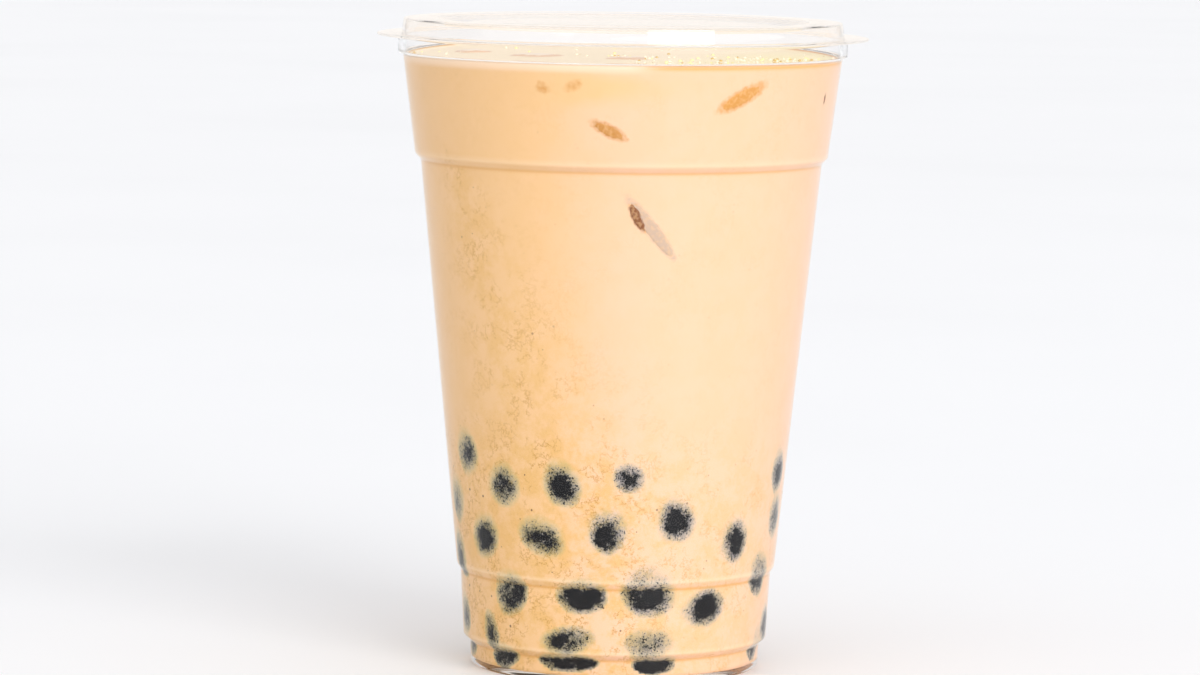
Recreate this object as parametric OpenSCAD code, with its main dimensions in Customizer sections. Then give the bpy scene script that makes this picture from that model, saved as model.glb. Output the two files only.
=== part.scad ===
// Bubble tea: a clear plastic takeaway cup, the milk tea that fills it and its flat clear lid.
// Millimetres, +Z up, origin at the centre of the foot on the surface that the cup stands on.

/* [Cup] */
// Height of the cup from its foot to the top of the rolled rim
cup_h = 137.6; // [100:0.5:200]
// Diameter over the rolled rim
rim_d = 98; // [90:0.5:130]
// Diameter of the foot at the surface that the cup stands on
foot_d = 63; // [45:0.2:76]
// Thickness of the cup's wall
wall = 0.5; // [0.3:0.05:1]
// Thickness of the cup's floor
floor_t = 0.6; // [0.5:0.1:2]

/* [Rolled rim] */
// Height of the rolled rim
rim_h = 3.9; // [2.5:0.1:6]
// How far the rolled rim stands out over the wall below it
rim_out = 1.1; // [0.8:0.1:2.5]
// Radius that rounds the roll's outer corners
rim_round = 0.7; // [0.3:0.1:1]
// Chamfer on the roll's inner top corner
rim_chamfer = 0.3; // [0.1:0.1:0.5]

/* [Collar and stacking rings] */
// Height of the wide collar, from the shoulder to the top of the rim
collar_h = 27.2; // [15:0.2:40]
// How far the wall steps out at the shoulder
shoulder_step = 1.1; // [0.4:0.1:2.5]
// Height of the upper ring's step above the foot
upper_ring_z = 20.6; // [14:0.1:40]
// How far the wall steps out at the upper ring
upper_ring_step = 0.7; // [0.3:0.1:2]
// Height of the lower ring's step above the foot
lower_ring_z = 4.9; // [3:0.1:12]
// How far the wall steps out at the lower ring
lower_ring_step = 1.4; // [0.3:0.1:2]
// Height over which each step runs
step_h = 1.9; // [0.8:0.1:2.5]
// Growth of the wall's radius for each millimetre of height above the shoulder
collar_draft = 0.13; // [0.02:0.01:0.2]
// Growth of the wall's radius for each millimetre of height below the upper ring
ring_draft = 0.055; // [0.01:0.005:0.1]

/* [Foot] */
// Height of the recess under the floor
recess_h = 1; // [0.8:0.1:3.5]
// Width of the flat ring that the cup stands on
foot_ring = 1.6; // [1:0.1:4]
// Width of the slope from the foot ring up to the recess
recess_slope = 1.5; // [0.5:0.1:4]
// Radius that rounds the foot's outer edge
foot_round = 0.8; // [0.3:0.1:1.4]

/* [Drink] */
// Free height between the drink and the top of the rim
headspace = 4.4; // [1:0.1:20]
// Clearance between the drink's solid and the cup's wall and floor
fill_gap = 0.02; // [0.01:0.01:0.1]

/* [Lid] */
// Thickness of the lid's sheet
lid_t = 0.5; // [0.3:0.05:1]
// How far the lid's flange stands out beyond the rolled rim
flange_out = 4.6; // [1:0.1:8]
// Clearance from the edge of the roll's flat top in to the raised ring's wall
lid_seat = 0.1; // [0:0.05:0.3]
// Height of the lid's raised ring above the flange's underside
lid_h = 3.8; // [2.5:0.1:10]
// How far the raised ring's wall leans in from the flange to its top
lid_lean = 0.5; // [0:0.1:2]
// Width of the raised ring's flat top
lid_ring_w = 7; // [3:0.5:15]
// Depth of the lid's middle below the raised ring
panel_drop = 1; // [0.4:0.1:2]
// Width of the slope from the raised ring down to the middle
panel_slope = 1.2; // [0.4:0.1:4]

/* [Hidden] */
$fn = 128;
STEP_POINTS = 8;    // points along each rounded step
ARC_POINTS = 6;     // points along each rounded corner
shoulder_z = cup_h - collar_h;
rim_z = cup_h - rim_h;
neck_r = rim_d / 2 - rim_out;
tea_z = cup_h - headspace;
floor_z = recess_h + floor_t;
// Radii just over the shoulder and the upper ring, and the wall's growth for each millimetre between
over_shoulder_r = neck_r - collar_draft * (rim_z - shoulder_z);
over_ring_r = foot_d / 2 + ring_draft * upper_ring_z + lower_ring_step + upper_ring_step;
body_draft = (over_shoulder_r - shoulder_step - over_ring_r) / (shoulder_z - upper_ring_z);
inner_top_r = neck_r - wall;
roll_r = rim_d / 2 - rim_round;
lid_wall_r = roll_r - lid_seat;
lid_bevel = lid_t / 2;      // bevel on the raised ring's outer edge
slope_shift = lid_t / 3;    // how far the slope's underside lies out from its top

// 0 below a step, 1 above it, and a smooth rise between
function rise(z, start) = let (t = min(max((z - start) / step_h, 0), 1)) t * t * (3 - 2 * t);

// Outer radius of the wall at height z: a straight taper for each part of the wall, plus the steps
// that lie below z
function wall_r(z) = foot_d / 2
    + ring_draft * min(z, upper_ring_z)
    + body_draft * min(max(z - upper_ring_z, 0), shoulder_z - upper_ring_z)
    + collar_draft * max(z - shoulder_z, 0)
    + lower_ring_step * rise(z, lower_ring_z)
    + upper_ring_step * rise(z, upper_ring_z)
    + shoulder_step * rise(z, shoulder_z);

// Heights of the points along one rounded step, and of all such points between low and high
function step_heights(start) = [for (i = [0 : STEP_POINTS]) start + step_h * i / STEP_POINTS];
function wall_heights(low, high) = [
    for (z = concat(step_heights(lower_ring_z), step_heights(upper_ring_z), step_heights(shoulder_z)))
        if (z > low && z < high) z
];

// The wall's outline between two heights, moved in by inset
function wall_line(low, high, inset) = [
    for (z = concat([low], wall_heights(low, high), [high])) [wall_r(z) - inset, z]
];

// A quarter of a circle round (x, z), from the angle start to the angle stop
function corner(x, z, radius, start, stop) = [
    for (i = [0 : ARC_POINTS])
        let (a = start + (stop - start) * i / ARC_POINTS) [x + radius * cos(a), z + radius * sin(a)]
];

function reversed(list) = [for (i = [len(list) - 1 : -1 : 0]) list[i]];

// One thin shell: foot ring, recessed floor, stepped wall and rolled rim
module cup() {
    foot_r = wall_r(foot_round);
    ring_in = foot_r - foot_round - foot_ring;
    recess_r = ring_in - recess_slope;
    color([0.93, 0.94, 0.95, 0.4])
    rotate_extrude()
    polygon(concat(
        [[0, recess_h], [recess_r, recess_h], [ring_in, 0]],
        corner(foot_r - foot_round, foot_round, foot_round, -90, 0),
        wall_line(lower_ring_z, rim_z, 0),
        corner(roll_r, rim_z + rim_round, rim_round, -90, 0),
        corner(roll_r, cup_h - rim_round, rim_round, 0, 90),
        [[inner_top_r + rim_chamfer, cup_h], [inner_top_r, cup_h - rim_chamfer]],
        reversed(wall_line(floor_z, rim_z, wall)),
        [[0, floor_z]]
    ));
}

// The milk tea fills the cup from its floor up to the level of the drink
module milk_tea() {
    low = floor_z + fill_gap;
    inset = wall + fill_gap;
    color([0.96, 0.84, 0.69])
    rotate_extrude()
    polygon(concat(
        [[0, low]],
        wall_line(low, min(tea_z, rim_z), inset),
        [if (tea_z > rim_z) [neck_r - inset, tea_z]],
        [[0, tea_z]]
    ));
}

// A thin sheet: a flange on the roll's flat top, a raised ring and a middle set a little lower
module lid() {
    top = cup_h + lid_h;
    flange_r = rim_d / 2 + flange_out;
    ring_out = lid_wall_r - lid_lean;
    ring_in = ring_out - lid_ring_w;
    panel_r = ring_in - panel_slope;
    color([0.96, 0.95, 0.94, 0.4])
    rotate_extrude()
    polygon([
        [lid_wall_r - lid_t, cup_h], [flange_r, cup_h], [flange_r, cup_h + lid_t],
        [lid_wall_r, cup_h + lid_t], [ring_out, top - lid_bevel], [ring_out - lid_bevel, top],
        [ring_in, top], [panel_r, top - panel_drop], [0, top - panel_drop],
        [0, top - panel_drop - lid_t], [panel_r + slope_shift, top - panel_drop - lid_t],
        [ring_in + slope_shift, top - lid_t], [ring_out - lid_t, top - lid_t]
    ]);
}

cup();
milk_tea();
lid();
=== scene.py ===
# %% [markdown]
# # Bubble tea in a clear plastic cup
# Milk tea fills a thin clear cup almost to the rim. Tapioca pearls have sunk to the bottom and
# press against the wall, a few lumps of ice float below the surface, fine froth lies on top, and a
# flat clear lid closes the cup. The sizes come from the frame that the construction model gives,
# and everything here is in metres, in that same frame.

# %% Load the frame and keep its box
import math

import bpy
import numpy as np
from mathutils import Matrix, Vector


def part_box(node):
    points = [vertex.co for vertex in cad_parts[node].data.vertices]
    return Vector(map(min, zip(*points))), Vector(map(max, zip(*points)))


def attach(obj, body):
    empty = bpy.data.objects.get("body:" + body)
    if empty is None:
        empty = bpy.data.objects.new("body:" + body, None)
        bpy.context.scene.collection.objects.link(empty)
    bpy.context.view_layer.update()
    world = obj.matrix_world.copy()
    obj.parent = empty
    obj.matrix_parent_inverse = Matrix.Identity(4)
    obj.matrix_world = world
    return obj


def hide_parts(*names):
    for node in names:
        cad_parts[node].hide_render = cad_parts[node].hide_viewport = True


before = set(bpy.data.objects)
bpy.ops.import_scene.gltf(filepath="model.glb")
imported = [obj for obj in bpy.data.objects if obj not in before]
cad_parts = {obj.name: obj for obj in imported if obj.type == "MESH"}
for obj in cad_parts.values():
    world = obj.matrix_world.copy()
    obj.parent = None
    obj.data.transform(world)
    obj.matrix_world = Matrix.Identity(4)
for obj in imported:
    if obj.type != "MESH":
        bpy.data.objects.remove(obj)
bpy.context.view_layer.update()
MM = 0.001
_, cup_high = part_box("cup")
_, tea_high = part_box("milk_tea")
lid_low, lid_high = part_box("lid")
rim_height = cup_high.z
rim_radius = cup_high.x
tea_level = tea_high.z
lid_top = lid_high.z
flange_radius = min(lid_high.x, -lid_low.x)
print("cup", rim_height, "rim radius", rim_radius, "tea level", tea_level, "lid top", lid_top)

# %% [markdown]
# ## The camera
# The cup is seen from a little above its rim, from far away through a long lens, so that its sides
# hardly converge. The camera stands straight in front and leans by one degree, as a hand-held one
# does. Its right, up and back directions are worked out from the pitch and the lean, and they are
# the columns of its matrix.

# %% Place the camera


def add(name, data):
    """A new object with this data, linked to the scene."""
    made = bpy.data.objects.new(name, data)
    bpy.context.scene.collection.objects.link(made)
    return made


CAMERA_AT = Vector((-4.1 * MM, -1160 * MM, 185 * MM))
CAMERA_PITCH = math.radians(5.575)
CAMERA_LEAN = math.radians(0.81)
LENS_MM = 159.6
SENSOR_MM = 36


def camera_matrix(place, pitch, lean):
    """The camera looks along +Y, turned down by pitch, then leans about its own line of sight."""
    ahead = Vector((0, math.cos(pitch), -math.sin(pitch)))
    level_right = Vector((1, 0, 0))
    level_up = level_right.cross(ahead)
    right = math.cos(lean) * level_right + math.sin(lean) * level_up
    up = math.cos(lean) * level_up - math.sin(lean) * level_right
    turned = Matrix((right, up, -ahead)).transposed().to_4x4()
    return Matrix.Translation(place) @ turned


camera_data = bpy.data.cameras.new("camera")
camera_data.lens = LENS_MM
camera_data.sensor_width = SENSOR_MM
camera_data.clip_end = 100
camera = add("camera", camera_data)
camera.matrix_world = camera_matrix(CAMERA_AT, CAMERA_PITCH, CAMERA_LEAN)
bpy.context.scene.camera = camera
print("camera", LENS_MM, "mm lens, at", tuple(round(x, 3) for x in CAMERA_AT))

# %% [markdown]
# ## The light and the floor
# Clear plastic shows what surrounds it, so the room is one even pale grey, with a warm glow low
# behind the cup. A soft sun from the front right gives the drink its bright side, and a weaker one
# from the left fills the shadow. A wide soft panel stands at the right too: the lid's raised ring
# mirrors it as one white bar. The floor is a plain pale sheet that runs past every view.

# %% Light the room
ROOM_GREY = (0.75, 0.755, 0.77)
BACK_GLOW = (1.0, 0.95, 0.90)
FLOOR_GREY = (0.935, 0.94, 0.955)
FLOOR_CLOUD = (0.915, 0.92, 0.935)
KEY_STRENGTH = 1.4
KEY_SOFTNESS = math.radians(34)
KEY_TURN = math.radians(32)
KEY_HEIGHT = math.radians(25)
FILL_STRENGTH = 0.6
FILL_SOFTNESS = math.radians(90)
FILL_TURN = math.radians(-35)
FILL_HEIGHT = math.radians(25)
PANEL_TURN = math.radians(43)
PANEL_HEIGHT = math.radians(15)
PANEL_DISTANCE = 1.5
PANEL_WIDTH = 3.4
PANEL_DEPTH = 0.5
PANEL_POWER = 5.5
SUN_DISTANCE = 3
FLOOR_REACH = 30


def direction(turn, height):
    """A unit direction: turn is measured from the front towards the right, height is upwards."""
    flat = math.cos(height)
    return Vector((math.sin(turn) * flat, -math.cos(turn) * flat, math.sin(height)))


def lamp(name, kind, place, strength):
    """A lamp at place that points at the middle of the cup."""
    data = bpy.data.lights.new(name, kind)
    data.energy = strength
    made = add(name, data)
    middle = Vector((0, 0, rim_height / 2))
    made.location = place
    made.rotation_euler = (place - middle).to_track_quat("Z", "Y").to_euler()
    return made


key = lamp("soft_key", "SUN", direction(KEY_TURN, KEY_HEIGHT) * SUN_DISTANCE, KEY_STRENGTH)
key.data.angle = KEY_SOFTNESS
fill = lamp("soft_fill", "SUN", direction(FILL_TURN, FILL_HEIGHT) * SUN_DISTANCE, FILL_STRENGTH)
fill.data.angle = FILL_SOFTNESS
panel = lamp("soft_panel", "AREA", direction(PANEL_TURN, PANEL_HEIGHT) * PANEL_DISTANCE, PANEL_POWER)
panel.data.shape = "ELLIPSE"
panel.data.size = PANEL_WIDTH
panel.data.size_y = PANEL_DEPTH

bpy.context.scene.view_settings.view_transform = "Standard"
print("lamps", key.name, fill.name, panel.name)

# %% [markdown]
# ## Small helpers for node materials
# Every finish is a small graph of nodes. These helpers add a node, plug in its values and hand back
# the socket, so that a material reads as a few steps from pattern to colour.

# %% Helpers for nodes


def plug(tree, socket, value):
    """Links value to the socket if value is itself a socket, or else sets it."""
    if isinstance(value, bpy.types.NodeSocket):
        tree.links.new(value, socket)
    else:
        socket.default_value = value


def node(tree, kind, settings=None, **plugs):
    """A new node with its settings and its inputs by name, with _ for a space."""
    made = tree.nodes.new("ShaderNode" + kind)
    for name, value in (settings or {}).items():
        setattr(made, name, value)
    for name, value in plugs.items():
        plug(tree, made.inputs[name.replace("_", " ")], value)
    return made


def maths(tree, operation, *values):
    """One arithmetic step on one or two values."""
    made = tree.nodes.new("ShaderNodeMath")
    made.operation = operation
    for socket, value in zip(made.inputs, values):
        plug(tree, socket, value)
    return made.outputs[0]


def product(tree, first, *others):
    """All the values multiplied together."""
    for other in others:
        first = maths(tree, "MULTIPLY", first, other)
    return first


def centred(tree, value):
    """Noise moved down by a half, so that it swings about 0."""
    return maths(tree, "SUBTRACT", value, 0.5)


def blend(tree, share, first, second):
    """The first colour where share is 0, the second where it is 1."""
    made = tree.nodes.new("ShaderNodeMix")
    made.data_type = "RGBA"
    plug(tree, made.inputs[0], share)
    plug(tree, made.inputs[6], first)
    plug(tree, made.inputs[7], second)
    return made.outputs[2]


def stretch(tree, value, low, high, to_low=0.0, to_high=1.0):
    """The value moved smoothly from low..high to to_low..to_high, and held at the ends."""
    made = node(tree, "MapRange", {"interpolation_type": "SMOOTHSTEP"})
    for socket, number in zip(made.inputs, (value, low, high, to_low, to_high)):
        plug(tree, socket, number)
    return made.outputs[0]


def grain(tree, place, size, detail=2.0, rough=0.5):
    """Noise whose features are about size metres across."""
    made = node(tree, "TexNoise", Vector=place, Scale=1 / size, Detail=detail, Roughness=rough)
    return made.outputs["Fac"]


def reading(tree, name):
    """The value of a number that each point of the mesh carries."""
    return node(tree, "Attribute", {"attribute_name": name}).outputs["Fac"]


def colour(red, green, blue):
    """A colour given as screen values from 0 to 255, as linear light."""
    share = np.array((red, green, blue)) / 255
    linear = np.where(share <= 0.04045, share / 12.92, ((share + 0.055) / 1.055) ** 2.4)
    return (*linear.tolist(), 1.0)


def new_material(name):
    """A material with only its output node, and its node tree."""
    made = bpy.data.materials.new(name)
    made.use_nodes = True
    made.node_tree.nodes.clear()
    return made, made.node_tree


def finish_material(tree, shader):
    """Plugs the last shader into the output."""
    output = tree.nodes.new("ShaderNodeOutputMaterial")
    tree.links.new(shader, output.inputs["Surface"])


def plain_finish(made, tone, rough, mirror=0.5):
    """Gives the material a Principled shader of this colour, and hands it back."""
    tree = made.node_tree
    shader = node(tree, "BsdfPrincipled", Base_Color=tone, Roughness=rough, Specular_IOR_Level=mirror)
    finish_material(tree, shader.outputs[0])
    return made


def object_place(tree):
    """The point on the piece, in metres, as the piece carries it."""
    return node(tree, "TexCoord").outputs["Object"]


# %% The room and the floor
def pale_room():
    """One grey for the whole room, with a warm glow low down behind the cup: the lid mirrors it."""
    made = bpy.data.worlds.new("pale_room")
    made.use_nodes = True
    tree = made.node_tree
    way = node(tree, "SeparateXYZ", Vector=node(tree, "TexCoord").outputs["Generated"]).outputs
    low = stretch(tree, way["Z"], 0.5, 0.1)
    glow = maths(tree, "MULTIPLY", low, stretch(tree, way["Y"], 0.0, 0.7))
    light = blend(tree, glow, (*ROOM_GREY, 1), (*BACK_GLOW, 1))
    plug(tree, tree.nodes["Background"].inputs["Color"], light)
    return made


bpy.context.scene.world = pale_room()


def floor_finish():
    """Pale smooth stone: nearly one grey, with very faint broad clouds."""
    made, tree = new_material("pale_floor")
    cloud = grain(tree, object_place(tree), 0.3, 4)
    pale = blend(tree, stretch(tree, cloud, 0.35, 0.75), (*FLOOR_GREY, 1), (*FLOOR_CLOUD, 1))
    return plain_finish(made, pale, 0.55)


floor_mesh = bpy.data.meshes.new("floor")
corners = FLOOR_REACH * np.array([(-1, -1, 0), (1, -1, 0), (1, 1, 0), (-1, 1, 0)])
floor_mesh.from_pydata(corners.tolist(), [], [(0, 1, 2, 3)])
floor = add("floor", floor_mesh)
floor_mesh.materials.append(floor_finish())
print("floor", 2 * FLOOR_REACH, "m wide")

# %% [markdown]
# ## Surfaces from arrays
# The cup, the drink and the lid are round, so each is one outline carried round the axis. The
# outline is a list of radii and heights. A whole array of angles turns it into points in one step,
# and another array joins neighbouring points into faces. Where the outline starts or ends on the
# axis, the ring there is one point, so the pole is closed.

# %% Helpers for meshes


def grid_faces(rows, turns):
    """Faces between neighbouring rings: point (row, turn) has the number row * turns + turn."""
    row, turn = np.meshgrid(np.arange(rows - 1), np.arange(turns), indexing="ij")
    here = row * turns + turn
    beside = row * turns + (turn + 1) % turns
    return np.stack([here, beside, beside + turns, here + turns], -1).reshape(-1, 4)


def fan_faces(pole, ring_start, turns, flip):
    """Triangles from one pole point to a ring, facing the other way if flip."""
    here = ring_start + np.arange(turns)
    beside = ring_start + (np.arange(turns) + 1) % turns
    pole = np.full(turns, pole)
    return np.stack([pole, here, beside] if flip else [pole, beside, here], -1)


def piece(name, points, faces, values=None):
    """A smooth mesh object from arrays of points and faces, with numbers that its points carry."""
    mesh = bpy.data.meshes.new(name)
    mesh.from_pydata(points.tolist(), [], [face for part in faces for face in part.tolist()])
    for title, numbers in (values or {}).items():
        carried = mesh.attributes.new(title, "FLOAT", "POINT")
        carried.data.foreach_set("value", numbers.astype(np.float32))
    mesh.shade_smooth()
    print(name, len(mesh.vertices), "points", len(mesh.polygons), "faces")
    return add(name, mesh)


def round_points(outline, turns):
    """Points of an outline of (radius, height) carried round the axis: x = r cos a, y = r sin a."""
    angle = np.linspace(0, 2 * np.pi, turns, endpoint=False)
    radius, height = outline[:, :1], outline[:, 1:]
    return np.stack(
        [radius * np.cos(angle), radius * np.sin(angle), height + 0 * angle], -1
    ).reshape(-1, 3)


def closed_round(outline, turns):
    """Points and faces of a solid of revolution whose outline starts and ends on the axis."""
    inner = outline[1:-1]
    poles = np.array([[0, 0, outline[0, 1]], [0, 0, outline[-1, 1]]])
    points = np.concatenate([round_points(inner, turns), poles])
    last = len(inner) * turns
    faces = [
        grid_faces(len(inner), turns),
        fan_faces(last, 0, turns, False),
        fan_faces(last + 1, last - turns, turns, True),
    ]
    return points, faces


def joined(name, places, values=None):
    """Closed lumps as one piece. Each comes as rings of points from pole to pole; its first and its
    last ring are a single point each, put behind the others."""
    points, faces, start = [], [], 0
    for place in places:
        rings, spokes = place.shape[:2]
        first = start + (rings - 2) * spokes
        points += [place[1:-1].reshape(-1, 3), place[:1, 0], place[-1:, 0]]
        faces += [
            (grid_faces(rings - 2, spokes) + start)[:, ::-1],
            fan_faces(first, start, spokes, True),
            fan_faces(first + 1, first - spokes, spokes, False),
        ]
        start = first + 2
    return piece(name, np.concatenate(points), faces, values)


def bell(value, middle, width):
    """1 at the middle, falling to 0 on both sides: exp(-((value - middle) / width)^2)."""
    return np.exp(-(((value - middle) / width) ** 2))


def ramp(value, low, high):
    """0 below low and 1 above high, with 3 t^2 - 2 t^3 between; low may be the larger one."""
    t = np.clip((value - low) / (high - low), 0, 1)
    return t * t * (3 - 2 * t)


def arc(radius_at, height_at, radius, start, stop, count=7):
    """Part of a circle round (radius_at, height_at), from start to stop in degrees."""
    angle = np.radians(np.linspace(start, stop, count))
    return np.stack([radius_at + radius * np.cos(angle), height_at + radius * np.sin(angle)], -1)


# %% [markdown]
# ## The cup
# A thin clear cup is drawn from one warm sheet over a mould. Its wall leans out, and three small
# outward steps let cups stack without jamming: two low rings and a shoulder under the wide collar.
# Its top edge is rolled into a bead. The wall's radius is a formula of the height: three straight
# leans, round the rings, along the body and at the collar, plus a smooth rise for each step below
# that height, with the same sizes as the construction model. One outline runs from the underside
# over the bead and down the inside.

# %% The wall's radius at each height
WALL = 0.5 * MM
FOOT_RADIUS = 31.5 * MM
RIM_HEIGHT = 3.9 * MM
RIM_OUT = 1.1 * MM
RIM_ROUND = 0.7 * MM
RIM_CHAMFER = 0.3 * MM
COLLAR_HEIGHT = 27.2 * MM
COLLAR_LEAN = 0.13
RING_LEAN = 0.055
STEP_HEIGHT = 1.9 * MM
SHOULDER = rim_height - COLLAR_HEIGHT
LOW_RING = 4.9 * MM
HIGH_RING = 20.6 * MM
STEPS = ((LOW_RING, 1.4 * MM), (HIGH_RING, 0.7 * MM), (SHOULDER, 1.1 * MM))
FLOOR_UNDER = 1.0 * MM
FLOOR_TOP = 1.6 * MM
FOOT_RING = 1.6 * MM
FOOT_SLOPE = 1.5 * MM
FOOT_ROUND = 0.8 * MM
neck_radius = rim_radius - RIM_OUT
bead_low = rim_height - RIM_HEIGHT
over_shoulder = neck_radius - COLLAR_LEAN * (bead_low - SHOULDER)
over_ring = FOOT_RADIUS + RING_LEAN * HIGH_RING + STEPS[0][1] + STEPS[1][1]
body_lean = (over_shoulder - STEPS[2][1] - over_ring) / (SHOULDER - HIGH_RING)


def wall_radius(height):
    """Outer radius: foot + lean x height for each of the three parts of the wall, plus
    out x (3 t^2 - 2 t^3) for each step, where t runs from 0 to 1 over the step."""
    height = np.asarray(height, float)
    radius = FOOT_RADIUS + RING_LEAN * np.minimum(height, HIGH_RING)
    radius = radius + body_lean * np.clip(height - HIGH_RING, 0, SHOULDER - HIGH_RING)
    radius = radius + COLLAR_LEAN * np.maximum(height - SHOULDER, 0)
    for start, out in STEPS:
        t = np.clip((height - start) / STEP_HEIGHT, 0, 1)
        radius = radius + out * t * t * (3 - 2 * t)
    return np.minimum(radius, neck_radius)


def wall_heights(low, high, spacing):
    """Heights from low to high: spacing apart, and ten to each step."""
    even = np.arange(low, high, spacing)
    close = [start + STEP_HEIGHT * np.linspace(-0.1, 1.1, 13) for start, _ in STEPS]
    found = np.unique(np.round(np.concatenate([even, *close, [low, high]]), 7))
    found = found[(found >= low) & (found <= high)]
    return found[np.append(np.diff(found) > 0.04 * MM, True)]


def wall_line(heights, inset):
    """The outline of the wall at these heights, moved in by inset."""
    return np.stack([wall_radius(heights) - inset, heights], -1)


print("wall leans", round(math.degrees(math.atan(body_lean)), 2), "degrees, neck", neck_radius)

# %% Build the cup's shell
CUP_TURNS = 256


def cup_outline():
    """The shell's section, from the middle of the underside round the rim to the inner floor."""
    foot = FOOT_RADIUS + RING_LEAN * FOOT_ROUND
    ring = foot - FOOT_ROUND - FOOT_RING
    bead = rim_radius - RIM_ROUND
    inside = neck_radius - WALL
    outer = wall_heights(FOOT_ROUND * 1.2, bead_low, 3 * MM)
    inner = wall_heights(FLOOR_TOP + 0.6 * MM, bead_low, 3 * MM)[::-1]
    floor_edge = float(wall_radius(FLOOR_TOP)) - WALL
    return np.concatenate([
        [[0, FLOOR_UNDER], [ring - FOOT_SLOPE - 0.5 * MM, FLOOR_UNDER], [ring - FOOT_SLOPE, FLOOR_UNDER]],
        [[ring - 0.1 * MM, 0.05 * MM], [ring + 0.1 * MM, 0]],
        arc(foot - FOOT_ROUND, FOOT_ROUND, FOOT_ROUND, -90, 0),
        wall_line(outer, 0),
        arc(bead, bead_low + RIM_ROUND, RIM_ROUND, -90, 0),
        arc(bead, rim_height - RIM_ROUND, RIM_ROUND, 0, 90),
        arc(inside + RIM_CHAMFER, rim_height - RIM_CHAMFER, RIM_CHAMFER, 90, 180, 5),
        wall_line(inner, WALL),
        arc(floor_edge - 0.6 * MM, FLOOR_TOP + 0.6 * MM, 0.6 * MM, 0, -90, 5),
        [[0, FLOOR_TOP]],
    ])


cup = piece("cup_shell", *closed_round(cup_outline(), CUP_TURNS))

# %% [markdown]
# ## Clear plastic
# The cup and its lid are clear and glossy. A Principled shader with transmission shows what is
# behind, and its coat mirrors the room. A sheet as thin as this hardly shifts what is seen through
# it, and light caught between its two skins would show as dark lines, so the shader bends far less
# than solid plastic does. The lid is a little hazy and warm, from the drink below it. Rays from
# lamps pass through a plain Transparent shader in place of it, because bent light would reach the
# drink only by chance and leave it grainy.

# %% The clear finish
COAT_BEND = 1.46
RIPPLE_DEPTH = 0.3 * MM
PASSING = (0.98, 0.98, 0.98, 1)


def clear_finish(name, tint, rough, ripple_size, ripple, bend, haze, gloss):
    """Clear plastic: bends and mirrors for the eye, and lets light rays straight through. Haze is the
    share that scatters, bend the index of refraction and gloss the weight of the mirroring coat."""
    made, tree = new_material(name)
    waves = grain(tree, object_place(tree), ripple_size, 2)
    bump = node(tree, "Bump", Height=waves, Strength=ripple, Distance=RIPPLE_DEPTH)
    glass = node(
        tree, "BsdfPrincipled", Base_Color=(*tint, 1), Roughness=rough, IOR=bend,
        Transmission_Weight=1 - haze, Coat_Weight=gloss, Coat_IOR=COAT_BEND, Normal=bump.outputs[0],
    )
    passing = node(tree, "BsdfTransparent", Color=PASSING)
    path = node(tree, "LightPath")
    lamp_ray = maths(tree, "MAXIMUM", path.outputs["Is Shadow Ray"], path.outputs["Is Diffuse Ray"])
    mixed = node(tree, "MixShader")
    plug(tree, mixed.inputs[0], lamp_ray)
    plug(tree, mixed.inputs[1], glass.outputs[0])
    plug(tree, mixed.inputs[2], passing.outputs[0])
    finish_material(tree, mixed.outputs[0])
    return made


cup.data.materials.append(clear_finish(
    "clear_cup", (0.99, 0.99, 0.99), rough=0.06, ripple_size=18 * MM, ripple=0.04, bend=1.05, haze=0.0,
    gloss=0.6,
))
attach(cup, "root")
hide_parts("cup")
print("finish of the cup:", cup.data.materials[0].name)

# %% [markdown]
# ## The lid
# The lid is one thin formed sheet. Its flange lies on the bead and stands out past it, a raised ring
# runs round the edge, and the middle is set a little lower. The ring's outer wall bulges by a hair,
# and every bend of the sheet is rounded, so that it catches a thin line of light.

# %% Build the lid
LID_SHEET = 0.5 * MM
LID_SEAT = 0.1 * MM
LID_LEAN = 0.5 * MM
LID_RING = 7 * MM
PANEL_DROP = 1.0 * MM
PANEL_SLOPE = 1.2 * MM
LID_BULGE = 0.15 * MM
LID_BEND = 0.35 * MM
LID_TURNS = 256


def softened(corners, radius, count=4):
    """The line through these corners with each corner cut and rounded: a curve between two points
    at most radius from the corner, P = (1-t)^2 A + 2 t (1-t) corner + t^2 B."""
    corners = np.asarray(corners, float)
    before = corners[:-2] - corners[1:-1]
    after = corners[2:] - corners[1:-1]
    long_before = np.linalg.norm(before, axis=1, keepdims=True)
    long_after = np.linalg.norm(after, axis=1, keepdims=True)
    start = corners[1:-1] + before / long_before * np.minimum(radius, 0.45 * long_before)
    stop = corners[1:-1] + after / long_after * np.minimum(radius, 0.45 * long_after)
    t = np.linspace(0, 1, count)[None, :, None]
    curve = (1 - t) ** 2 * start[:, None] + 2 * t * (1 - t) * corners[1:-1, None] + t**2 * stop[:, None]
    return np.concatenate([corners[:1], curve.reshape(-1, 2), corners[-1:]])


def lid_outline():
    """The sheet's section, from the middle of the underside out to the flange and back over. The
    ring's outer wall is a straight lean plus LID_BULGE x sin(pi t), where t runs up the wall."""
    wall = rim_radius - RIM_ROUND - LID_SEAT
    top = lid_top
    ring_out = wall - LID_LEAN
    ring_in = ring_out - LID_RING
    panel_edge = ring_in - PANEL_SLOPE
    panel = top - PANEL_DROP
    shift = LID_SHEET / 3
    low = rim_height + LID_SHEET
    bulge = [
        (wall - LID_LEAN * t + LID_BULGE * math.sin(math.pi * t), low + t * (top - low))
        for t in np.linspace(0, 1, 7)[1:-1]
    ]
    return softened([
        (0, panel - LID_SHEET), (panel_edge + shift, panel - LID_SHEET),
        (ring_in + shift, top - LID_SHEET), (ring_out - LID_SHEET, top - LID_SHEET),
        (wall - LID_SHEET, rim_height), (flange_radius, rim_height),
        (flange_radius, low), (wall, low), *bulge,
        (ring_out, top), (ring_in, top), (panel_edge, panel), (0, panel),
    ], LID_BEND)


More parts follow.
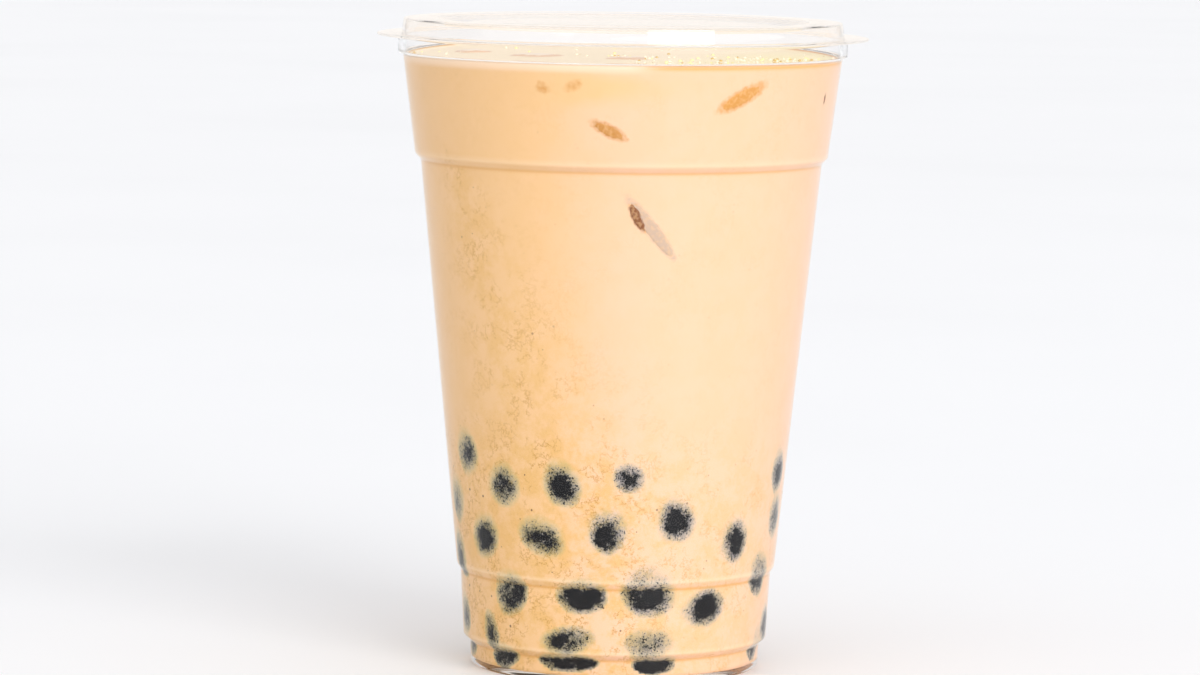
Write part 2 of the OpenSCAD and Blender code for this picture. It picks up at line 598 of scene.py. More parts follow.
lid = piece("clear_lid", *closed_round(lid_outline(), LID_TURNS))
lid.data.materials.append(clear_finish(
    "clear_lid_sheet", (1.0, 0.97, 0.94), rough=0.05, ripple_size=14 * MM, ripple=0.05, bend=1.003,
    haze=0.05, gloss=1.0,
))
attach(lid, "root")
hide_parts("lid")

# %% [markdown]
# ## What is sunk in the drink
# A soft pearl that lies against the wall is pressed flat there. The milk tea between pearl and wall
# gets thinner towards the middle of that flat spot, so a pearl shows as a dark patch with a pale
# grey-green halo, and its edge is grainy, where specks of milk are caught. Where the wall steps in,
# a pearl touches only the narrow part under the step, so its dark patch has a straight top.
#
# All of this follows from one number: the thickness of the film of tea over the pearl. Each pearl
# or lump of ice is an ellipsoid with gentle bumps, whose front may be flatter than a ball's. It is
# pushed out until it would pass through the inner wall by its press, at its tightest height, and
# whatever would stand past the wall is moved back on to it. The same formula gives the film at any
# point of the wall.
#
# The pearls in front are chosen one by one, and those behind follow a seeded rule.

# %% Pearls
rng = np.random.default_rng(20)
# Rows behind: height in millimetres, and the share of places in the row that hold a pearl
BACK_ROWS = ((46, 0.4), (34.5, 1.0), (24, 1.0), (14.5, 1.0), (5.5, 1.0))
BACK_START = 98
BACK_STOP = 268
BACK_SPACING = 25
BACK_SHIFT = 11
BACK_SIZES = (4.4, 5.3)
BACK_PRESSES = (0.12, 0.28, 0.34, 0.5)
# Each front pearl: turn from the front and tilt in degrees, height, press, half width and half
# height in millimetres
FRONT_PEARLS = (
    (-61, 10, 48.8, 0.16, 5.0, 6.0), (-42, 0, 42.5, 0.12, 5.0, 5.8), (-19, 12, 43.8, 0.3, 5.0, 6.0),
    (4, 0, 45.4, 0.24, 4.0, 3.9), (72, 10, 44.6, 0.4, 4.6, 5.8), (-73, 0, 37.4, 0.05, 4.8, 5.8),
    (74, 0, 34.4, 0.25, 4.6, 5.6), (-53, -20, 30.8, 0.28, 4.9, 6.2), (-27, -25, 32.0, 0.32, 6.4, 4.8),
    (-3, -10, 33.8, 0.32, 5.0, 5.7), (20.5, 25, 36.2, 0.32, 5.0, 6.2), (46, -5, 30.8, 0.3, 5.0, 6.2),
    (-76, 0, 25.2, 0.2, 4.8, 6.0), (65, 25, 22.4, 0.55, 4.8, 6.2), (-42, -15, 18.9, 0.28, 4.9, 6.0),
    (-12.5, -4, 19.6, 0.26, 6.0, 4.9), (12, 0, 20.8, 0.34, 7.2, 6.6), (35, 12, 16.3, 0.5, 6.0, 5.0),
    (-78, 0, 11.4, 0.2, 4.6, 5.2), (-54, 12, 9.6, 0.1, 3.0, 5.0), (-48.5, 12, 4.5, 0.4, 4.8, 3.2),
    (-18, 8, 9.5, 0.25, 6.6, 3.9), (-18.5, 0, 4.6, 0.45, 7.0, 2.8), (13, 0, 9.0, 0.08, 6.0, 4.2),
    (15.5, 0, 4.5, 0.42, 5.4, 2.8), (80, 20, 9.8, 0.35, 4.7, 5.4), (72, 20, 6.4, 0.3, 4.2, 4.6),
    (-80, 0, 4.8, 0.1, 4.4, 3.4),
)


def back_pearls():
    """Rows of pearls behind: 25 degrees apart, every other row shifted, all a little out of line."""
    found = []
    for row, (height, share) in enumerate(BACK_ROWS):
        for turn in np.arange(BACK_START + BACK_SHIFT * (row % 2), BACK_STOP, BACK_SPACING):
            if rng.random() > share:
                continue
            shape = rng.uniform(*BACK_SIZES, 2)
            found.append((
                turn + rng.uniform(-4, 4), rng.uniform(-30, 30), height + rng.uniform(-1.8, 1.8),
                rng.choice(BACK_PRESSES), *shape,
            ))
    return found


PEARLS = (*FRONT_PEARLS, *back_pearls())
print(len(PEARLS), "pearls")

# %% [markdown]
# ## Ice under the surface
# Lumps of ice that touch the wall show as short streaks near the top. Where one leans on the wall
# the drink behind it looks darker, so a streak is amber or brown, and one with much air in it is
# cloudy grey. A lump is a long thin ellipsoid, made by the same formula as a pearl. Those in front
# are chosen one by one, and four more lie behind.

# %% Lumps of ice
# Each lump: its tone (0 cloudy grey, 0.5 amber, 1 brown), turn from the front and tilt in degrees,
# height, press, half length, half width and depth in millimetres
ICE = (
    (0.66, -4.2, -27, 120.2, 0.4, 7.6, 2.7, 4.5), (0.52, 34, 27, 127.6, 0.4, 10.2, 3.5, 4.5),
    (0, 5.9, -52, 101.7, 0.4, 14, 2.8, 4.5), (1, 4.3, -62, 102.0, 0.6, 6.4, 2.2, 4.5),
    (0.45, -21.3, -30, 128.8, 0.12, 3.4, 2.4, 3.5), (0.45, -12.7, 25, 129.3, 0.12, 4.2, 2.2, 3.5),
    (1, 69, 80, 125.8, 0.3, 2.6, 1, 3), (0.5, 120, 30, 112, 0.3, 9, 3.6, 4.5),
    (0.7, 158, -40, 124, 0.28, 7, 3, 4.5), (0, 205, 15, 104, 0.25, 12, 3.4, 4.5),
    (0.5, 246, -60, 120, 0.3, 9, 3.2, 4.5),
)
print(len(ICE), "lumps of ice")

# %% [markdown]
# ## The front of a lump and the film over it
# The same few functions give a lump's own points and the thickness of the tea between it and any
# point of the wall, which keeps lump and drink in step with each other.

# %% The shape of a lump's front
# How the front's section departs from a circle, which is 2
PEARL_FLAT = 2.3
WEDGED_FLAT = 3.0
ICE_FLAT = 2.0
# A pearl is wedged under a step if its middle is this near, in millimetres
WEDGED_NEAR = 2.2


def bumps(dx, dy, dz, seed, size):
    """A gentle factor near 1 for each direction: a sum of four sines with seeded phases."""
    phase = np.random.default_rng(int(seed)).uniform(0, 2 * np.pi, 6)
    wave = np.sin(3.1 * dx + 2.0 * dy + phase[0]) + np.sin(3.4 * dy - 1.7 * dz + phase[1])
    wave = wave + np.sin(4.3 * dz + 2.6 * dx + phase[2]) + 0.6 * np.sin(6.5 * dx - 5.2 * dy + phase[3])
    return 1 + size * wave / 3


def dome(share, flat):
    """Depth of a rounded front at this share of its half width: (1 - share^flat)^(1 / flat). It is
    a circle where flat is 2, and flatter in the middle where flat is more."""
    return np.maximum(1 - np.abs(share) ** flat, 0) ** (1 / flat)


def pearl_flat(height):
    """A pearl whose middle lies close to a step is squashed against its edge, so it is flatter."""
    near = min(abs(height - start / MM) for start, _ in STEPS)
    return WEDGED_FLAT if near < WEDGED_NEAR else PEARL_FLAT


print("a pearl is", round(float(dome(0.5, PEARL_FLAT)), 3), "of its depth halfway out, a ball 0.866")

# %% The film over a lump
# The most extra tea over a step, in millimetres; how far above the step's foot it is full, starts
# to fade and is gone
CROOK = 0.1
CROOK_FULL = 0.4 * MM
CROOK_FADES = 1.0 * MM
CROOK_ENDS = 4.0 * MM
# The film, in millimetres, where no lump is near
NO_LUMP = 9.0


def crook(height):
    """Extra tea in the crook over each step of the wall, in millimetres: it grows from 0 to CROOK
    just over the step's foot and fades out above the step."""
    extra = 0 * height
    for start, _ in STEPS:
        grown = ramp(height, start, start + CROOK_FULL)
        left = ramp(height, start + CROOK_ENDS, start + CROOK_FADES)
        extra = extra + CROOK * grown * left
    return extra


def sunk(turn, tilt, height, press, half_wide, half_tall, depth, seed, bumpy, flat):
    """One lump as a dictionary in metres and radians, with the radius at which its middle lies:
    the smallest over its height of inner wall + press - depth x dome(dz / half_tall)."""
    lump = dict(
        turn=math.radians(turn), tilt=math.radians(tilt), height=height * MM,
        half=np.array([half_wide, half_tall, depth]) * MM, seed=seed, bumpy=bumpy, flat=flat,
    )
    share = np.linspace(-0.95, 0.95, 61)
    level = np.maximum(lump["height"] + share * half_tall * MM, FLOOR_TOP)
    inner = wall_radius(level) - WALL
    lump["middle"] = float(np.min(inner + press * MM - depth * MM * dome(share, flat)))
    return lump


def film_over(lump, turn, height, radius):
    """Thickness of tea between a lump and the points at (turn, height, radius), in millimetres:
    the distance along the lump's own outward line, negative where the lump would stand past."""
    across = radius * np.sin(turn - lump["turn"])
    outward = radius * np.cos(turn - lump["turn"]) - lump["middle"]
    upward = height - lump["height"]
    c, s = math.cos(lump["tilt"]), math.sin(lump["tilt"])
    half = lump["half"]
    dx = (c * across + s * upward) / half[0]
    dy = (c * upward - s * across) / half[1]
    spread = dx**2 + dy**2
    dz = np.sqrt(np.maximum(1 - spread, 0))
    long = np.sqrt(dx**2 + dy**2 + dz**2)
    factor = bumps(dx / long, dy / long, dz / long, lump["seed"], lump["bumpy"])
    front = half[2] * factor * dome(np.sqrt(spread) / factor, lump["flat"])
    film = (outward - front) / MM + crook(height)
    return np.where((spread < factor**2) & (outward > 0), film, NO_LUMP)


pearl_lumps = [
    sunk(turn, tilt, height, press, wide, tall, (wide + tall) / 2, 100 + number, 0.07, pearl_flat(height))
    for number, (turn, tilt, height, press, wide, tall) in enumerate(PEARLS)
]
ice_lumps = [sunk(*shape[1:], 500 + number, 0.012, ICE_FLAT) for number, shape in enumerate(ICE)]
ice_tones = [shape[0] for shape in ICE]
print("pearls lie", round(min(lump["middle"] for lump in pearl_lumps) / MM, 1), "mm or more from the axis")

# %% Build the pearls and the ice
LUMP_RINGS = 24
LUMP_SPOKES = 36
# How far a lump that presses on the wall reaches into it, so that it shows through the drink's skin
PROUD = 0.2 * MM
# How far a lump may reach into the cup's floor, and how far below the surface it stays
INTO_FLOOR = 0.05 * MM
UNDER_SURFACE = 0.3 * MM


def lump_points(lump):
    """Points of one lump: directions round its outward line, closer together near the wall, times
    its half sizes and bumps; then kept inside the wall, above the floor and under the surface."""
    steps = np.linspace(0, 1, LUMP_RINGS)
    polar = np.pi * (0.42 * steps + 0.58 * steps**3)[:, None]
    around = np.linspace(0, 2 * np.pi, LUMP_SPOKES, endpoint=False)[None, :]
    dx = np.sin(polar) * np.cos(around)
    dy = np.sin(polar) * np.sin(around)
    dz = np.cos(polar) + 0 * around
    factor = bumps(dx, dy, dz, lump["seed"], lump["bumpy"])
    half = lump["half"]
    front = np.sign(dz) * dome(np.sin(polar), lump["flat"])
    along, upright, outward = half[0] * dx * factor, half[1] * dy * factor, half[2] * front * factor
    c, s = math.cos(lump["tilt"]), math.sin(lump["tilt"])
    across = c * along - s * upright
    height = lump["height"] + s * along + c * upright
    outward = outward + lump["middle"]
    turn = lump["turn"] + np.arctan2(across, outward)
    radius = np.hypot(across, outward)
    height = np.clip(height, FLOOR_TOP - INTO_FLOOR, tea_level - UNDER_SURFACE)
    limit = wall_radius(height) - WALL + PROUD
    kept = np.minimum(radius, limit)
    film = (limit - PROUD - radius) / MM + crook(height)
    points = np.stack([kept * np.sin(turn), -kept * np.cos(turn), height], -1)
    return points, film


def lump_piece(name, lumps, tones):
    """All lumps of one kind as one piece, whose points carry the film and their lump's tone."""
    places, films = zip(*(lump_points(lump) for lump in lumps))
    films = [np.concatenate([film[1:-1].ravel(), film[:1, 0], film[-1:, 0]]) for film in films]
    numbers = [np.full(len(film), tone) for film, tone in zip(films, tones)]
    return joined(name, places, {"film": np.concatenate(films), "tone": np.concatenate(numbers)})


pearls = lump_piece("tapioca_pearls", pearl_lumps, [0] * len(pearl_lumps))
ice = lump_piece("sunk_ice", ice_lumps, ice_tones)

# %% [markdown]
# ## The milk tea
# The drink is one solid that reaches a little way into the plastic, so that no air gap shows. Its
# side follows the inner wall, its top curls up slightly where it wets the wall, and its points
# carry numbers for the finish: the film over the pearls and over the ice, how strong the brew is
# together with painted shade on the left side, how much froth or sediment lies there, and where
# painted shade and a painted highlight lie at the steps of the wall.

# %% The drink's outline
TEA_INTO_WALL = 0.1 * MM
CURL = 0.45 * MM
CURL_REACH = 1.6 * MM


def tea_heights():
    """Close rows where pearls lie, wider ones above, and close ones again where ice shows."""
    bottom = FLOOR_TOP - TEA_INTO_WALL
    low = wall_heights(bottom + 0.3 * MM, 52 * MM, 0.65 * MM)
    middle = np.arange(53.5, 88, 2.5) * MM
    high = wall_heights(90 * MM, tea_level - 3.4 * MM, 0.9 * MM)
    edge = np.linspace(tea_level - 3 * MM, tea_level, 13)
    return np.concatenate([low, middle, high, edge])


def tea_outline():
    """The drink's section: bottom, side, curled edge and top, down the middle of the surface."""
    bottom = FLOOR_TOP - TEA_INTO_WALL
    side = wall_line(tea_heights(), WALL - TEA_INTO_WALL)
    edge = side[-1, 0]
    curled = np.linspace(0.1, 1, 6) * CURL_REACH
    inward = np.concatenate([curled, np.linspace(3 * MM, edge - 3 * MM, 22)])
    drop = CURL * (1 - np.exp(-4 * inward / CURL_REACH))
    side[-1, 1] = tea_level + CURL
    top = np.stack([edge - inward, tea_level + CURL - drop], -1)
    base = [[0, bottom], [side[0, 0] * 0.5, bottom], [side[0, 0] - 0.4 * MM, bottom]]
    return np.concatenate([base, side, top, [[0, tea_level]]])


print(len(tea_outline()), "points in the drink's outline")

# %% Build the drink
TEA_TURNS = 384
# How strongly each step of the wall gets painted shade under it and a painted highlight over
# it, from the lowest up
PAINTED_STEP_STRENGTHS = (0.75, 0.9, 0.65)
# A trail of tea dust sinks down the left side: where it starts, and over how much height it falls
TRAIL_TOP = 112 * MM
TRAIL_FALL = 60 * MM


def tea_values(points):
    """The numbers that the drink's points carry. Each film is the least of the films over all lumps,
    and the others are products of bells and ramps in height, radius and turn from the front."""
    turn = np.arctan2(points[:, 0], -points[:, 1])
    degrees = np.degrees(turn)
    height = points[:, 2]
    radius = np.hypot(points[:, 0], points[:, 1])
    pearl_film = np.full(len(points), NO_LUMP)
    ice_film = np.full(len(points), NO_LUMP)
    ice_tone = np.full(len(points), 0.5)
    for lump in pearl_lumps:
        pearl_film = np.minimum(pearl_film, film_over(lump, turn, height, radius))
    for lump, tone in zip(ice_lumps, ice_tones):
        film = film_over(lump, turn, height, radius)
        ice_tone = np.where(film < ice_film, tone, ice_tone)
        ice_film = np.minimum(ice_film, film)
    left = 0.5 - 0.5 * np.sin(turn + 0.15)
    low = ramp(height, 60 * MM, 37 * MM)
    fallen = np.clip((TRAIL_TOP - height) / TRAIL_FALL, 0, 1)
    trail = 0.65 * bell(degrees, -56 + 30 * fallen, 6 + 20 * fallen)
    trail = trail * ramp(height, TRAIL_TOP + 4 * MM, TRAIL_TOP - 4 * MM)
    near_top = bell(height, tea_level - 4.5 * MM, 3 * MM) * ramp(degrees, 30, -10)
    on_top = (radius < radius.max() - 0.3 * MM) & (height > tea_level - 0.01 * MM)
    gathered = ramp(degrees, -20, 35) * ramp(degrees, 150, 80) * ramp(radius, 8 * MM, 40 * MM)
    clump = bell(degrees, -61, 6) * bell(radius, 43 * MM, 5 * MM)
    side_top = ramp(height, tea_level - 1.9 * MM, tea_level - 0.2 * MM) * ~on_top
    # Painted shade just over the foot of each step of the wall, and a painted highlight at its top edge
    painted_shade_under_step, painted_highlight_over_step = 0 * height, 0 * height
    for (start, _), strength in zip(STEPS, PAINTED_STEP_STRENGTHS):
        painted_shade_under_step = painted_shade_under_step + strength * bell(height, start + 0.2 * MM, 0.35 * MM)
        painted_highlight_over_step = painted_highlight_over_step + strength * bell(height, start + STEP_HEIGHT, 0.4 * MM)
    return {
        "pearl_film": pearl_film, "ice_film": ice_film, "ice_tone": ice_tone,
        # Browner towards the left side, away from the key light, is painted shade; near_top adds a darker
        # band just under the surface towards the left
        "brew_and_side_shade": ramp(np.cos(turn + 1.22), 0.2, 0.9) + 0.8 * near_top,
        "sediment": np.clip(0.12 + (0.3 + 0.7 * left) * low + trail, 0, 1),
        "top": on_top * 1.0, "painted_shade_under_step": painted_shade_under_step, "painted_highlight_over_step": painted_highlight_over_step,
        "bubbly": on_top * (gathered + clump),
        "cream": side_top * ramp(degrees, 12, 0) * ramp(degrees, -100, -60),
        "line": bell(height, tea_level - 0.15 * MM, 0.5 * MM) * ramp(degrees, 2, 14) * ~on_top,
    }


tea_points, tea_faces = closed_round(tea_outline(), TEA_TURNS)
tea = piece("milk_tea_body", tea_points, tea_faces, tea_values(tea_points))

# %% [markdown]
# ## The colour of milk tea
# The drink is an even pale tan, a little browner at random where the brew is less mixed. It is
# also browner towards its left side, which is painted shade, and in a band just under the surface
# there. A line of painted shade lies under each step of the wall, and a painted highlight over it.
# Clouds, thin squiggles and specks of tea dust hang in it. Over the pearls the colour is read from
# the film: near black where it is gone, then blue-grey, a pale grey-green, and the drink's own tan
# again.
# Noise is added to the film first, so that the edges come out grainy. The pearls use the same
# steps, so no line shows where one piece ends and the other begins.

# %% Colours of the drink
MILKY = colour(236, 192, 158)
# The browner tan: for brew at random, and for painted shade on the left side
BREW_AND_SHADE_TAN = colour(231, 188, 136)
MUDDY = colour(223, 176, 108)
WISP = colour(190, 138, 62)
CREAM = colour(245, 215, 186)
# Painted shade under each step of the wall, and a painted highlight over it
PAINTED_STEP_SHADE = colour(214, 158, 84)
PAINTED_STEP_HIGHLIGHT = colour(246, 218, 184)
FROTH = colour(254, 235, 206)
MELTING = colour(250, 228, 204)
YELLOW_FROTH = colour(254, 238, 188)
OCHRE = colour(214, 178, 104)
YELLOW_BUBBLE = colour(253, 238, 168)
LINE = colour(226, 166, 80)
SPECK = colour(96, 66, 42)
# How much what lies behind the wall mirrors by itself: little, because the wall does it
THROUGH_PLASTIC = 0.1
# Marks that the drink's points carry: name, weight and colour. The first two are painted
# shade under each step of the wall and a painted highlight over it
MARKS = (("painted_shade_under_step", 0.85, PAINTED_STEP_SHADE), ("painted_highlight_over_step", 0.4, PAINTED_STEP_HIGHLIGHT), ("cream", 0.8, CREAM), ("line", 0.8, LINE))
PEARL_BLACK = colour(3, 3, 6)
ICE_AMBER = colour(206, 144, 70)
ICE_BROWN = colour(132, 82, 50)
ICE_GREY = colour(194, 166, 144)
WET_ICE = colour(229, 188, 154)
print("tan from", [round(x, 3) for x in MILKY[:3]], "to", [round(x, 3) for x in BREW_AND_SHADE_TAN[:3]])

# %% The look of thin milk
# The film, in millimetres, that hides all but about a third of the red, green and blue behind it
MILK_DEPTHS = (1.0, 0.65, 0.39)
WOBBLE_SIZE = 1.3 * MM
WOBBLE = 1.9
GRAIN_SIZE = 0.38 * MM
DARK_OVER = 0.56
DARK_GRAINS = -7.0
PALE_UNDER = 0.41
PALE_GRAINS = 2.6
# Dark grains are full under the first film, in millimetres, and nearly gone over the second
GRAINS_FADE = (0.9, 2.2)
NEARLY_GONE = 0.15


def grainy_film(tree, film, place):
    """The film in millimetres, made uneven: a slow wobble, a few pale grains over thin film, and dark
    grains that fade where the film grows."""
    wobble = product(tree, centred(tree, grain(tree, place, WOBBLE_SIZE, 4, 0.7)), WOBBLE)
    fine = grain(tree, place, GRAIN_SIZE, 1, 0.6)
    high = maths(tree, "MAXIMUM", maths(tree, "SUBTRACT", fine, DARK_OVER), 0)
    low = maths(tree, "MAXIMUM", maths(tree, "SUBTRACT", PALE_UNDER, fine), 0)
    dark = product(tree, high, DARK_GRAINS, stretch(tree, film, *GRAINS_FADE, 1.0, NEARLY_GONE))
    pale = product(tree, low, PALE_GRAINS)
    uneven = maths(tree, "ADD", maths(tree, "ADD", film, wobble), maths(tree, "ADD", dark, pale))
    return maths(tree, "MAXIMUM", uneven, 0.0)


def through_milk(tree, film, behind, milk):
    """A colour seen through a film of milk. For red, green and blue alike, the milk's own share is
    1 - exp(-film / depth); thin milk hides blue first, so its edge looks blue-grey over black."""
    share = tree.nodes.new("ShaderNodeCombineXYZ")
    for socket, depth in zip(share.inputs, MILK_DEPTHS):
        left = maths(tree, "POWER", math.exp(-1 / depth), film)
        tree.links.new(maths(tree, "SUBTRACT", 1.0, left), socket)
    mixed = tree.nodes.new("ShaderNodeMix")
    mixed.data_type = "VECTOR"
    mixed.factor_mode = "NON_UNIFORM"
    plug(tree, mixed.inputs[1], share.outputs[0])
    plug(tree, mixed.inputs[4], behind[:3])
    plug(tree, mixed.inputs[5], milk)
    return mixed.outputs[1]


def over_ice(tree, film, number, place, milk):
    """Clear ice lets a darker drink show. Each lump has its own tone: cloudy grey, amber or brown. It
    fades out where the film grows, and fine noise in the film makes flecks and a ragged edge."""
    noise = product(tree, centred(tree, grain(tree, place, 1.1 * MM, 3, 0.6)), 1.3)
    uneven = maths(tree, "ADD", film, noise)
    tone = blend(tree, stretch(tree, number, 0, 0.5), ICE_GREY, ICE_AMBER)
    tone = blend(tree, stretch(tree, number, 0.5, 1), tone, ICE_BROWN)
    flecks = product(tree, stretch(tree, grain(tree, place, 0.7 * MM, 2), 0.45, 0.65), 0.3)
    tone = blend(tree, flecks, tone, milk)
    return blend(tree, stretch(tree, uneven, -0.35, 0.8), tone, milk)


print("milk", 2 * MILK_DEPTHS[0], "mm thick hides", round(1 - math.exp(-2), 2), "of the red behind it")

# %% The drink's finish


def dusty(tree, tan, place, sediment):
    """Tea dust over the tan: soft clouds, threads where noise crosses its middle value, fine grit."""
    mud = stretch(tree, grain(tree, place, 6 * MM, 5, 0.74), 0.38, 0.62)
    tan = blend(tree, product(tree, mud, sediment, 0.85), tan, MUDDY)
    middle = maths(tree, "ABSOLUTE", centred(tree, grain(tree, place, 2.6 * MM, 5, 0.66)))
    thread = stretch(tree, middle, 0.0, 0.026, 1.0, 0.0)
    patch = stretch(tree, grain(tree, place, 7 * MM, 2), 0.48, 0.57)
    tan = blend(tree, product(tree, thread, patch, sediment, 0.9), tan, WISP)
    grit = stretch(tree, grain(tree, place, 0.55 * MM, 3, 0.7), 0.54, 0.66)
    return blend(tree, product(tree, grit, mud, sediment, 0.25), tan, WISP)


def speckles(tree, place):
    """1 on small round dots of uneven size, in half of the cells of a cell pattern."""
    cells = node(tree, "TexVoronoi", Vector=place, Scale=1 / (2.2 * MM))
    chance = node(tree, "SeparateColor", Color=cells.outputs["Color"]).outputs
    dot = maths(tree, "LESS_THAN", cells.outputs["Distance"], product(tree, chance[1], 0.13))
    return product(tree, dot, maths(tree, "GREATER_THAN", chance[0], 0.5))


def tea_finish():
    """Pale tan drink with dust and specks, painted shade under each step of the wall and a painted
    highlight over it, froth on top, and the lumps that show through."""
    made, tree = new_material("milk_tea_colour")
    place = object_place(tree)
    sediment = reading(tree, "sediment")
    bubbly = reading(tree, "bubbly")
    clouds = product(tree, centred(tree, grain(tree, place, 12 * MM, 3)), 0.35)
    # Browner in random clouds of brew, and browner on the left side, which is painted shade
    brew_and_side_shade = maths(tree, "ADD", reading(tree, "brew_and_side_shade"), clouds)
    tan = blend(tree, stretch(tree, brew_and_side_shade, 0, 1), MILKY, BREW_AND_SHADE_TAN)
    tan = dusty(tree, tan, place, sediment)
    specks = speckles(tree, place)
    tan = blend(tree, product(tree, specks, sediment, 0.85), tan, SPECK)
    # Among the marks are painted shade under each step of the wall and a painted highlight over it
    for mark, weight, tone in MARKS:
        tan = blend(tree, product(tree, reading(tree, mark), weight), tan, tone)
    froth = blend(tree, bubbly, FROTH, YELLOW_FROTH)
    froth = blend(tree, product(tree, specks, bubbly, 0.7), froth, OCHRE)
    tan = blend(tree, reading(tree, "top"), tan, froth)
    tan = over_ice(tree, reading(tree, "ice_film"), reading(tree, "ice_tone"), place, tan)
    film = grainy_film(tree, reading(tree, "pearl_film"), place)
    tan = through_milk(tree, film, PEARL_BLACK, tan)
    return plain_finish(made, tan, 0.5, THROUGH_PLASTIC)


tea.data.materials.append(tea_finish())
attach(tea, "root")
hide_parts("milk_tea")
print(len(tea.data.materials[0].node_tree.nodes), "nodes in the drink's finish")

# %% The finish of the pearls and the ice


def pearl_finish():
    """Near black and smooth, with grains of milk where the film over the pearl begins."""
    made, tree = new_material("tapioca_black")
    place = object_place(tree)
    tan = blend(tree, 0.5, MILKY, BREW_AND_SHADE_TAN)
    dark = through_milk(tree, grainy_film(tree, reading(tree, "film"), place), PEARL_BLACK, tan)
    return plain_finish(made, dark, 0.5, THROUGH_PLASTIC)


def ice_finish():
    """Ice seen through a thin film of tea, each lump in its own tone."""
    made, tree = new_material("ice_in_tea")
    place = object_place(tree)
    tone = over_ice(tree, reading(tree, "film"), reading(tree, "tone"), place, BREW_AND_SHADE_TAN)
    return plain_finish(made, tone, 0.5, THROUGH_PLASTIC)


pearls.data.materials.append(pearl_finish())
ice.data.materials.append(ice_finish())
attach(pearls, "root")
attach(ice, "root")
print("finishes", pearls.data.materials[0].name, ice.data.materials[0].name)

# %% [markdown]
# ## Floating ice
# Three lumps of ice float with their tops a hair above the drink, and the tea darkens in a thin
# line where it wets them. Each is a rounded block that has melted out of shape, so its outline
# wobbles. Only a shallow block is made, because the tea hides the rest.

# %% Floating ice
# Each lump: middle across and back, half length, half width, how far its top stands over the drink,
# in millimetres, and its turn in degrees
FLOATING = ((-33, 12, 5.5, 5, 0.45, -62), (-19, -1, 8, 6, 0.4, -24), (1, -8, 6, 7, 0.4, -12))
HALF_DEPTH = 3
BOXY = 0.6
BLOCK_RINGS = 18
BLOCK_SPOKES = 40


def float_points(across, back, long, wide, proud, turn):
    """Points of a rounded block: a ball whose directions are pushed outwards by the power BOXY, times
    its half sizes and a slow wobble, turned about the vertical, with its top proud of the drink."""
    polar = np.linspace(0, np.pi, BLOCK_RINGS)[:, None]
    around = np.linspace(0, 2 * np.pi, BLOCK_SPOKES, endpoint=False)[None, :]
    ball = [np.sin(polar) * np.cos(around), np.sin(polar) * np.sin(around), np.cos(polar) + 0 * around]
    boxy = [np.sign(part) * np.abs(part) ** BOXY for part in ball[:2]]
    melted = 1 + 0.12 * np.sin(2 * around + across) + 0.08 * np.sin(3 * around + back)
    x, y, z = boxy[0] * long * MM * melted, boxy[1] * wide * MM * melted, ball[2] * HALF_DEPTH * MM
    c, s = math.cos(math.radians(turn)), math.sin(math.radians(turn))
    height = tea_level + (proud - HALF_DEPTH) * MM + z
    return np.stack([across * MM + c * x - s * y, back * MM + s * x + c * y, height], -1)


def float_finish():
    """Pale wet ice, with a thin brown line where the drink wets it."""
    made, tree = new_material("floating_ice_colour")
    place = object_place(tree)
    height = node(tree, "SeparateXYZ", Vector=place).outputs["Z"]
    uneven = product(tree, grain(tree, place, 2 * MM, 2), 0.5 * MM)
    level = maths(tree, "SUBTRACT", maths(tree, "SUBTRACT", height, tea_level), uneven)
    tone = blend(tree, stretch(tree, level, -0.05 * MM, 0.1 * MM), WET_ICE, MELTING)
    return plain_finish(made, tone, 0.3)


floating = joined("floating_ice", [float_points(*shape) for shape in FLOATING])
floating.data.materials.append(float_finish())
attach(floating, "root")

# %% [markdown]
# ## Bubbles
# Small bubbles have gathered on the right side of the surface, most of them near the wall. They are
# all one low dome of a few faces, moved and sized by whole arrays with a seeded rule, so hundreds
# of them stay light. Finer froth than this is left to the drink's finish.

# %% Bubbles
BUBBLES = 420
# Half widths, and the mean way in from the wall, in millimetres
BUBBLE_SIZES = (0.15, 0.5)
BUBBLE_SPREAD = 13.0
# The share of all bubbles that lies between these turns from the front, in degrees
GATHERED = 0.94
GATHERED_FROM = 6
GATHERED_TO = 95
DOME_RINGS = 4
DOME_SPOKES = 8


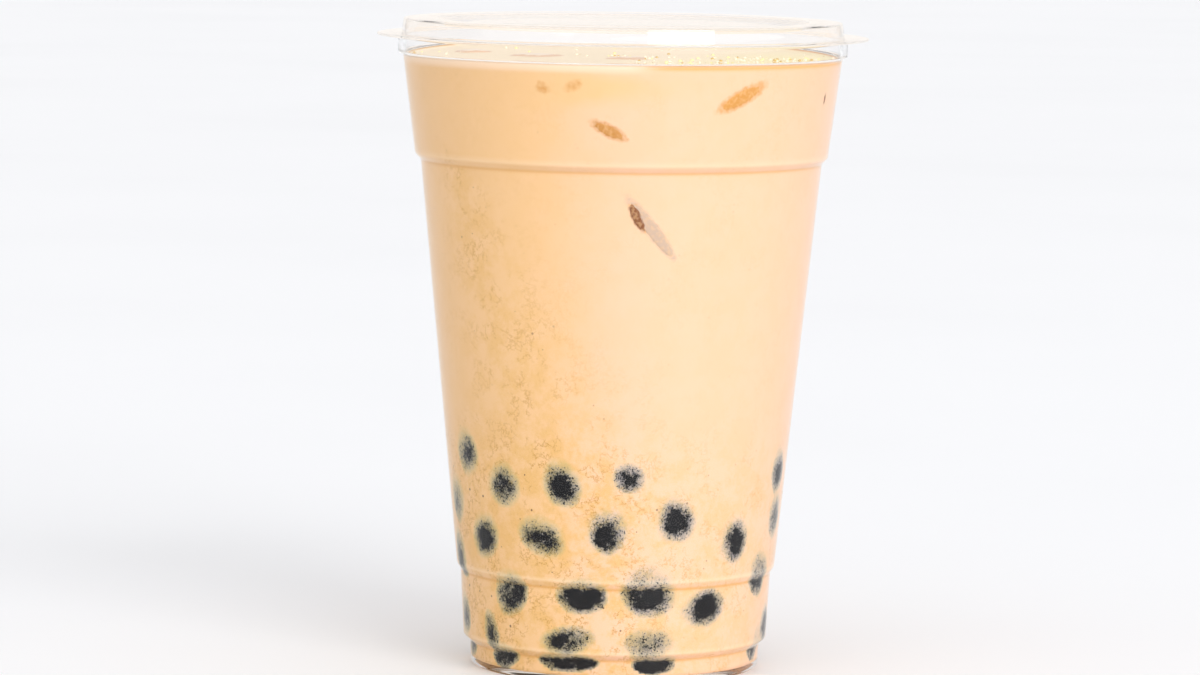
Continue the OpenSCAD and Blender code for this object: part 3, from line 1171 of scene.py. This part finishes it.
def bubble_piece():
    """Domes on the drink's surface: x = r sin(turn), y = -r cos(turn), where r is the inner wall less
    the bubble's size and a random way in; the surface curls up by CURL exp(-4 in / CURL_REACH)."""
    gathered = rng.random(BUBBLES) < GATHERED
    near = rng.uniform(GATHERED_FROM, GATHERED_TO, BUBBLES)
    elsewhere = rng.uniform(GATHERED_TO, 360, BUBBLES)
    turn = np.radians(np.where(gathered, near, elsewhere))
    size = rng.uniform(*BUBBLE_SIZES, BUBBLES) * MM
    inward = size + rng.exponential(BUBBLE_SPREAD, BUBBLES) * MM
    radius = float(wall_radius(tea_level)) - WALL - inward
    middle = np.stack([radius * np.sin(turn), -radius * np.cos(turn)], -1)
    level = tea_level + CURL * np.exp(-4 * inward / CURL_REACH) - 0.1 * MM
    polar = np.linspace(0, np.pi / 2, DOME_RINGS)
    around = np.linspace(0, 2 * np.pi, DOME_SPOKES, endpoint=False)
    wide, high = np.sin(polar[1:, None]), np.cos(polar[1:, None])
    ring = np.stack([wide * np.cos(around), wide * np.sin(around), high + 0 * around], -1).reshape(-1, 3)
    shape = np.concatenate([ring, [[0, 0, 1], [0, 0, -0.2]]])
    middle = np.concatenate([middle, level[:, None]], 1)
    points = (middle[:, None] + shape * size[:, None, None]).reshape(-1, 3)
    count = len(shape)
    single = [
        grid_faces(DOME_RINGS - 1, DOME_SPOKES)[:, ::-1], fan_faces(count - 2, 0, DOME_SPOKES, True),
        fan_faces(count - 1, count - 2 - DOME_SPOKES, DOME_SPOKES, False),
    ]
    starts = np.arange(BUBBLES)[:, None, None] * count
    faces = [(part[None] + starts).reshape(-1, part.shape[1]) for part in single]
    tone = np.repeat(rng.random(BUBBLES), count)
    return piece("top_bubbles", points, faces, {"tone": tone})


def bubble_finish():
    """Thin milky bubbles: cream, some of them yellow, a few ochre, and glossy."""
    made, tree = new_material("bubble_cream")
    number = reading(tree, "tone")
    tone = blend(tree, maths(tree, "GREATER_THAN", number, 0.55), FROTH, YELLOW_BUBBLE)
    tone = blend(tree, maths(tree, "GREATER_THAN", number, 0.82), tone, OCHRE)
    return plain_finish(made, tone, 0.15)


bubbles = bubble_piece()
bubbles.data.materials.append(bubble_finish())
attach(bubbles, "root")
